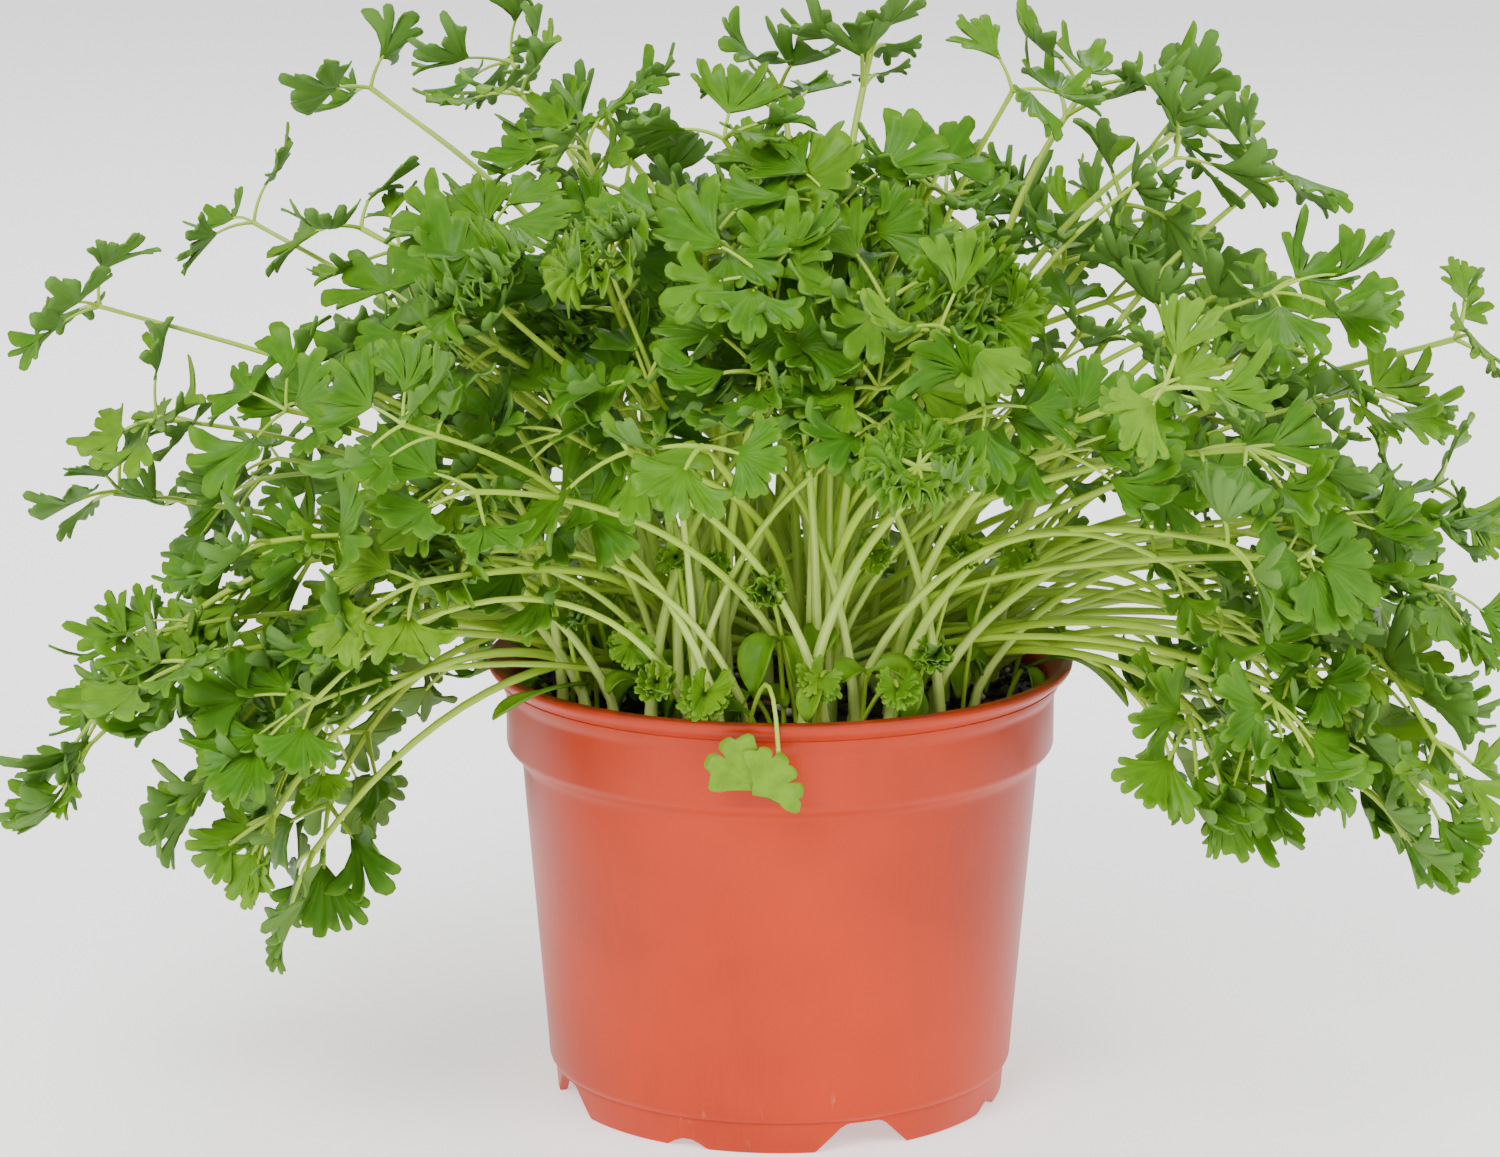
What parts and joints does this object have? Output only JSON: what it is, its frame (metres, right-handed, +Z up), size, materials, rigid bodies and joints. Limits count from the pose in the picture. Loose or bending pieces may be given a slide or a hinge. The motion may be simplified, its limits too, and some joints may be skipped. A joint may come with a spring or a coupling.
{
  "type": "potted parsley",
  "caption": "Curly parsley plant fanning out of a terracotta-coloured plastic nursery pot, with long thin stalks, frilled green leaves and dark compost under the pot's flared lip.",
  "frame": {"origin": "on the pot's axis at the level of its feet, which is also the middle of the object's box", "axes": "+Z up along the pot's axis; +X to the right across the widest spread of the leaves; -Y is the front"},
  "size_m": [0.3305, 0.2502, 0.2378],
  "materials": {
    "pot_plastic": "satin",
    "compost": "matte",
    "stalk": "satin",
    "leaf": "satin"
  },
  "bodies": {
    "root": {"pot": "pot_plastic", "soil": "compost", "stalk_01": "stalk", "leaf_01": "leaf", "stalk_02": "stalk", "leaf_02": "leaf", "stalk_03": "stalk", "leaf_03": "leaf", "stalk_04": "stalk", "leaf_04": "leaf", "stalk_05": "stalk", "leaf_05": "leaf", "stalk_06": "stalk", "leaf_06": "leaf", "stalk_07": "stalk", "leaf_07": "leaf", "stalk_08": "stalk", "leaf_08": "leaf", "stalk_09": "stalk", "leaf_09": "leaf", "stalk_10": "stalk", "leaf_10": "leaf", "stalk_11": "stalk", "leaf_11": "leaf", "stalk_12": "stalk", "leaf_12": "leaf", "stalk_13": "stalk", "leaf_13": "leaf", "stalk_14": "stalk", "leaf_14": "leaf", "stalk_15": "stalk", "leaf_15": "leaf", "stalk_16": "stalk", "leaf_16": "leaf", "stalk_17": "stalk", "leaf_17": "leaf", "stalk_18": "stalk", "leaf_18": "leaf", "stalk_19": "stalk", "leaf_19": "leaf", "stalk_20": "stalk", "leaf_20": "leaf", "stalk_21": "stalk", "leaf_21": "leaf", "stalk_22": "stalk", "leaf_22": "leaf", "stalk_23": "stalk", "leaf_23": "leaf", "stalk_24": "stalk", "leaf_24": "leaf", "stalk_25": "stalk", "leaf_25": "leaf", "stalk_26": "stalk", "leaf_26": "leaf", "rim_stalk": "stalk", "rim_leaf": "leaf", "seed_leaf_1": "leaf", "seed_leaf_2": "leaf", "seed_leaf_3": "leaf"}
  },
  "joints": []
}
